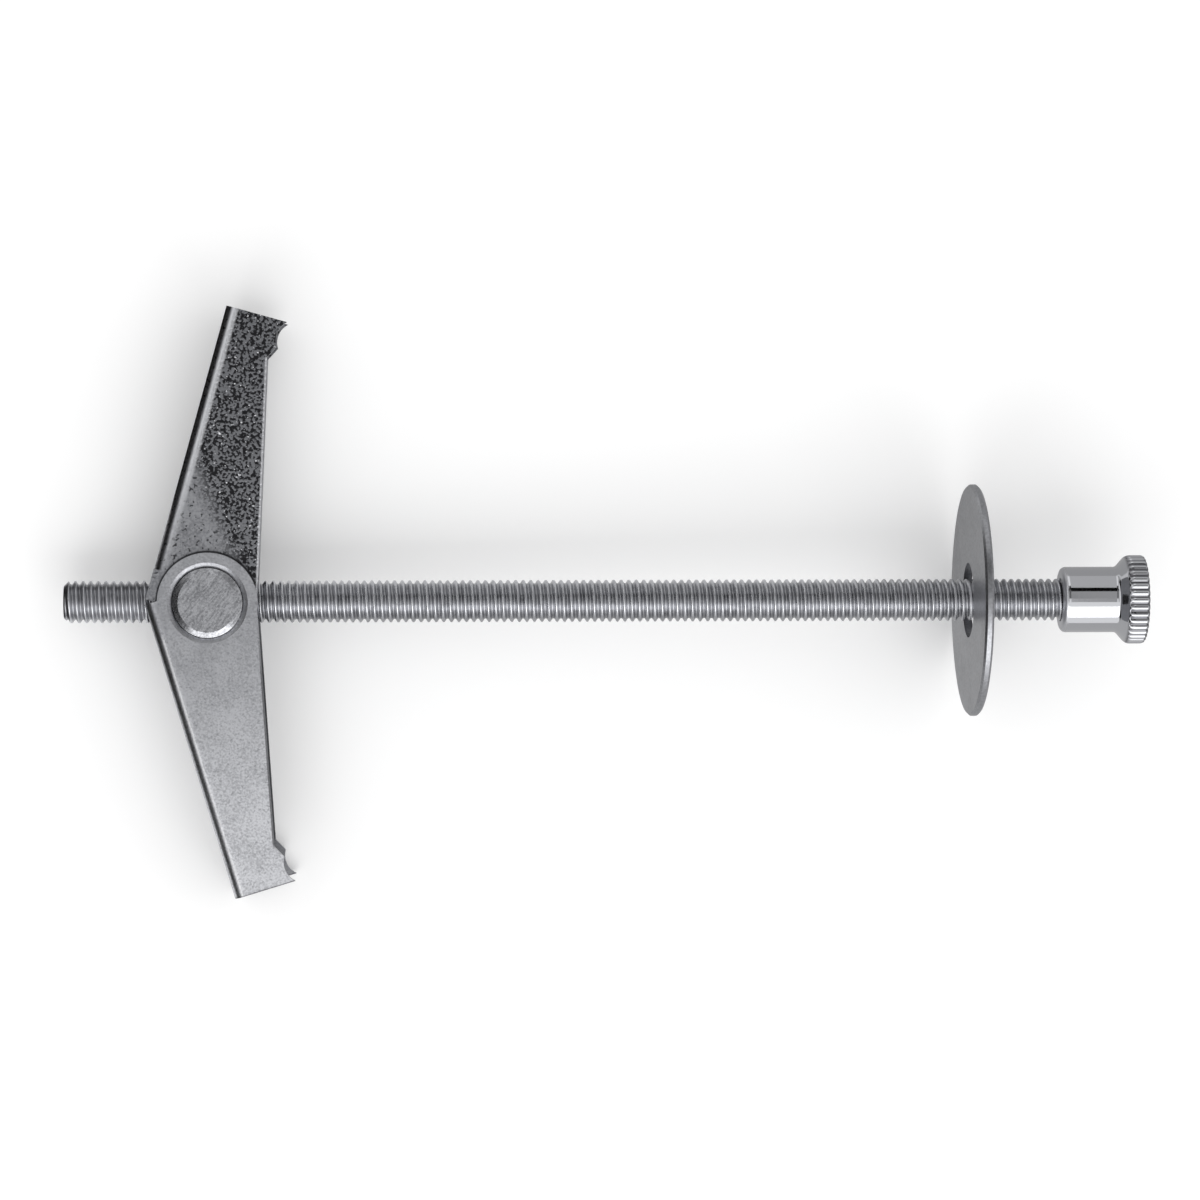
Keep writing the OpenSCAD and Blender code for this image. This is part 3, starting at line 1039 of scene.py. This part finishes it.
    def build(self, material: Material) -> list[Piece]:
        """Makes the spring's pieces: the legs follow the outer wing and the loop the inner one, and the coils
        are attached to neither.

        Args:
            material: The spring's finish.

        Returns:
            The pieces.
        """
        post = np.array([0.0, 0.0, 1.0])
        right, left = (self.axes.placed(np.array([x, 0, 0])) for x in (self.coil_r, -self.coil_r))
        pieces = []
        for side, place in ((1, "upper"), (-1, "lower")):
            leg = self.wire(f"spring_leg_{place}", self.leg(side), post, material)
            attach(leg, "outer_wing")
            pieces.append(leg)
            for body, low, high in (("outer_wing", 0.0, 0.5), ("inner_wing", 0.5, 1.0)):
                path = self.coil(np.linspace(low, high, self.COIL_POINTS), side)
                coil = self.wire(f"spring_coil_{place}_{body}", path, post, material)
                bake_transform(coil)
                pieces.append(coil)
        flat = np.append(self.flat(self.inner.across), 0.0)
        loop = self.wire("spring_loop", self.loop(), flat, material)
        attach(loop, "inner_wing")
        pieces.append(loop)
        for piece in pieces:
            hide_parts("torsion_spring")
        return pieces


class Bend(Enum):
    """The way that a studio card lies about the anchor."""

    ROUND_ROD = "round_rod"
    OVER_ROD = "over_rod"
    FLOOR = "floor"


@dataclass(frozen=True)
class Card:
    """A card that only shows in the metal, as a studio's flags and reflectors do.

    Args:
        name: The card's name.
        bend: Whether it arches round the rod, arches over the rod, or lies on the floor.
        across: Its two edges: degrees from straight up, to the inner wing's side or past the rod's tail,
            or metres to the inner wing's side on the floor.
        along: Its two ends in metres, along the rod or, where it arches over the rod, to the side.
        level: Its brightness.
        radius: Distance of an arch from the anchor.
        lift: Height of a card over the floor.
    """

    name: str
    bend: Bend
    across: Span
    along: Span
    level: float
    radius: float = 0.6
    lift: float = 0.02 * MM

    COLUMNS = 13  # points from edge to edge

    def surface(self) -> Array:
        """The card's grid: a strip of a cylinder about the anchor, or a flat strip.

        Returns:
            Two rows of points.
        """
        over, along = np.meshgrid(np.linspace(*self.across, self.COLUMNS), self.along)
        turn = np.radians(over)
        off, up = self.radius * np.sin(turn), self.radius * np.cos(turn)
        parts = {
            Bend.ROUND_ROD: [along, off, up],
            Bend.OVER_ROD: [-off, along, up],
            Bend.FLOOR: [along, over, np.full_like(over, self.lift)],
        }
        return np.stack(parts[self.bend], -1)

    def build(self) -> None:
        """Makes the card, hidden from the camera, from diffuse light, from shadows and from transmission."""
        glow = {"Color": (*WHITE, 1.0), "Strength": self.level}
        paper = plain_material(self.name, "ShaderNodeEmission", glow)
        made = mesh_object(self.name, self.surface(), grid_quads(len(self.along), self.COLUMNS, False), paper)
        made.visible_camera = made.visible_diffuse = made.visible_shadow = made.visible_transmission = False


@dataclass
class Studio:
    """The pale floor, the soft light, the cards and the camera.

    Args:
        axes: The anchor's axes.
        camera_mm: Distance from the camera to the rod.
        view_mm: Width of the picture at the rod.
        aim_mm: Place along the rod in the middle of the picture.
        aim_side_mm: Place beside the rod in the middle of the picture.
        yaw_deg: Angle by which the camera looks from the rod's tail towards the sleeve nut.
        roll_deg: Angle by which the camera is turned clockwise.
        floor_level: Colour of the floor.
        sky_level: Brightness of the light from all round.
        lamp_watts: Power of the soft lamp.
    """

    axes: Bearings
    camera_mm: float = 430.0
    view_mm: float = 111.33
    aim_mm: float = 36.18
    aim_side_mm: float = 0.07
    yaw_deg: float = 3.0
    roll_deg: float = 0.15
    floor_level: float = 0.95
    sky_level: float = 0.92
    lamp_watts: float = 1.8

    SENSOR_MM = 36.0
    FLOOR_HALF_M, FLOOR_POINTS = 3.0, 3
    LAMP_SIZE_M, LAMP_PLACE_M = (0.8, 0.45), (0.0, -0.45, 0.45)

    # Arched cards: ends along the rod in metres, edges in degrees, and levels over, in the gap and behind.
    ARCHES = (
        ("wings", (-0.3, -0.071), (-9, 31, 37, 90), (0.42, 0.0, 0.56)),
        ("rod", (-0.071, 0.092), (3, 34, 48, 90), (0.15, 0.02, 1.0)),
        ("nut", (0.092, 0.5), (-9, 28, 41, 90), (0.42, 0.0, 0.56)),
    )

    def floor(self) -> None:
        """Makes the floor: a wide flat grid."""
        line = np.linspace(-self.FLOOR_HALF_M, self.FLOOR_HALF_M, self.FLOOR_POINTS)
        x, y = np.meshgrid(line, line)
        matt = {"Color": (self.floor_level, self.floor_level, self.floor_level, 1.0)}
        paper = plain_material("pale_floor", "ShaderNodeBsdfDiffuse", matt)
        points = np.stack([x, y, np.zeros_like(x)], -1)
        made = mesh_object("floor", points, grid_quads(*x.shape, False), paper)

    def sky(self) -> None:
        """Lights from all round, white where the camera or the metal sees it."""
        world = bpy.data.worlds.new("studio")
        bpy.context.scene.world = world
        world.use_nodes = True
        tree = NodeTree(world.node_tree)
        kinds = ("Camera", "Glossy", "Transmission")
        rays = [tree.node("ShaderNodeLightPath", {}, {}, f"Is {kind} Ray") for kind in kinds]
        white, soft = (
            tree.node("ShaderNodeBackground", {}, {"Color": (*WHITE, 1.0), "Strength": level})
            for level in (1.0, self.sky_level)
        )
        seen = rays[0].most(rays[1]).most(rays[2])
        both = tree.node("ShaderNodeMixShader", {}, {0: seen, 1: soft, 2: white})
        tree.node("ShaderNodeOutputWorld", {}, {"Surface": both})

    def lamp(self) -> None:
        """Makes the soft lamp, high on the outer wing's side, which faces the origin."""
        light = bpy.data.lights.new("soft_lamp", "AREA")
        light.shape, light.energy = "RECTANGLE", self.lamp_watts
        light.size, light.size_y = self.LAMP_SIZE_M
        made = bpy.data.objects.new("soft_lamp", light)
        made.location = self.LAMP_PLACE_M
        made.rotation_euler = (Vector() - Vector(self.LAMP_PLACE_M)).to_track_quat("-Z", "Y").to_euler()
        bpy.context.scene.collection.objects.link(made)

    def cards(self) -> None:
        """Makes the cards: grey overhead, behind and below, a dark gap between, and dark past the tail."""
        arches = [
            Card(f"card_{part}_{place}", Bend.ROUND_ROD, edges[row:row + 2], ends, levels[row])
            for row, part in enumerate(("over", "gap", "behind"))
            for place, ends, edges, levels in self.ARCHES
        ]
        others = [
            Card("card_tail", Bend.OVER_ROD, (54, 90), (-0.9, 0.9), 0.01),
            Card("card_head", Bend.OVER_ROD, (-90, -50), (-0.9, 0.9), 0.5),
            Card("card_floor_tail_inner", Bend.FLOOR, (0.0, 0.6), (-0.6, -0.036), 0.02),
            Card("card_floor_tail_outer", Bend.FLOOR, (-0.6, 0.0), (-0.6, -0.052), 0.02),
            Card("card_floor_tail_rod", Bend.FLOOR, (0.0, 0.01), (-0.0525, -0.0405), 0.7, lift=0.04 * MM),
            Card("card_floor_rod", Bend.FLOOR, (0.0, 0.6), (-0.036, 0.024), 0.7),
            Card("card_floor_inner", Bend.FLOOR, (0.0, 0.6), (0.024, 0.5), 0.42),
            Card("card_floor_outer", Bend.FLOOR, (-0.6, 0.0), (-0.036, 0.5), 0.53),
        ]
        for card in arches + others:
            card.build()

    def camera(self) -> None:
        """Makes the camera, which looks down on the rod with the rod level in the picture."""
        lens = bpy.data.cameras.new("camera")
        lens.sensor_width = self.SENSOR_MM
        lens.lens = lens.sensor_width * self.camera_mm / self.view_mm
        made = bpy.data.objects.new("camera", lens)
        yaw = math.radians(self.yaw_deg)
        rod = Vector(self.axes.rod)
        above = rod.cross(Vector((0, 1, 0))).normalized()
        right = rod * math.cos(yaw) + above * math.sin(yaw)
        back = above * math.cos(yaw) - rod * math.sin(yaw)
        turn = Matrix((right, back.cross(right), back)).transposed().to_4x4()
        aim = Vector(self.axes.placed(np.array([self.aim_mm, self.aim_side_mm, 0]) * MM))
        roll = Matrix.Rotation(-math.radians(self.roll_deg), 4, "Z")
        made.matrix_world = Matrix.Translation(aim + back * self.camera_mm * MM) @ turn @ roll
        bpy.context.scene.collection.objects.link(made)
        bpy.context.scene.camera = made

    def build(self) -> None:
        """Sets up the whole studio."""
        bpy.context.scene.view_settings.view_transform = "Standard"
        self.floor()
        self.sky()
        self.lamp()
        self.cards()
        self.camera()


@dataclass
class Anchor:
    """The whole anchor: its axes, its finishes and its pieces.

    Args:
        axes: The anchor's axes.
    """

    axes: Bearings

    def __post_init__(self) -> None:
        """Works out the wings' planes."""
        self.outer = WingPlane.of_joint(self.axes, "outer_wing_fold", inside_mm=3.9)
        self.inner = WingPlane.of_joint(self.axes, "inner_wing_fold", inside_mm=3.5)

    def dress_nodes(self) -> None:
        """Gives the wings, the cross nut and the washer their finishes."""
        finishes = {
            "outer_wing": SmoothZinc(
                "outer_wing_zinc", tone(217, 218, 222), tone(124, 125, 129),
                roughness=0.36, grain_mm=0.1, relief_mm=0.01,
                plane=self.outer, shade=tone(180, 181, 185), cut=tone(70, 70, 73),
            ),
            "inner_wing": SpeckledZinc(
                "inner_wing_zinc", tone(166, 167, 171), tone(132, 133, 137),
                roughness=0.36, grain_mm=0.12, relief_mm=0.012,
                plane=self.inner, black=tone(44, 44, 46), highlight_colour=tone(228, 229, 233), speck_mm=0.13,
            ),
            "trunnion_nut": SawnZinc(
                "trunnion_zinc", tone(192, 193, 197), tone(136, 137, 141),
                roughness=0.27, grain_mm=0.09, relief_mm=0.0015,
            ),
            "washer": SatinZinc(
                "washer_zinc", tone(177, 178, 182), tone(155, 156, 160),
                roughness=0.34, grain_mm=0.12, relief_mm=0.003,
            ),
        }
        for node, finish in finishes.items():
            slots = frame["nodes"][node].data.materials
            slots.clear()
            slots.append(finish.material())
            LOG.info("%s: %s", node, finish.name)

    def build(self) -> None:
        """Dresses the solids and makes the rod, the sleeve nut and the spring."""
        self.dress_nodes()
        rod = ThreadedRod(self.axes)
        thread = RolledThread(
            "rod_zinc", tone(200, 201, 205), tone(118, 119, 123),
            roughness=0.28, grain_mm=0.12, relief_mm=0.006,
            axes=self.axes, root_mm=(rod.radius - rod.depth) / MM, crest_mm=rod.radius / MM,
        )
        LOG.info("%s", rod.build(thread.material()).name)
        nut = SleeveNut(self.axes)
        bright = BrightNickel(
            "nut_bright", tone(206, 207, 211), tone(120, 120, 124),
            roughness=0.08, grain_mm=0.1, relief_mm=0.001,
            axes=self.axes, rim_mm=nut.rim_start / MM, nose_mm=nut.start / MM + nut.rounding_mm[1],
            root_mm=(nut.rim_r - nut.ridge_h) / MM, crest_mm=nut.rim_r / MM,
        )
        LOG.info("%s", nut.build(bright.material()).name)
        wire = Finish(
            "spring_wire", tone(150, 150, 154), tone(96, 96, 100),
            roughness=0.3, grain_mm=0.1, relief_mm=0.002,
        )
        for piece in TorsionSpring(self.axes, self.outer, self.inner).build(wire.material()):
            LOG.info("%s", piece.name)


def main() -> None:
    """Builds the anchor and the studio."""
    logging.basicConfig(level=logging.INFO, format="%(name)s: %(message)s")
    axes = Bearings.from_joints(frame["joints"])
    Anchor(axes).build()
    Studio(axes).build()


if __name__ == "__main__":
    main()
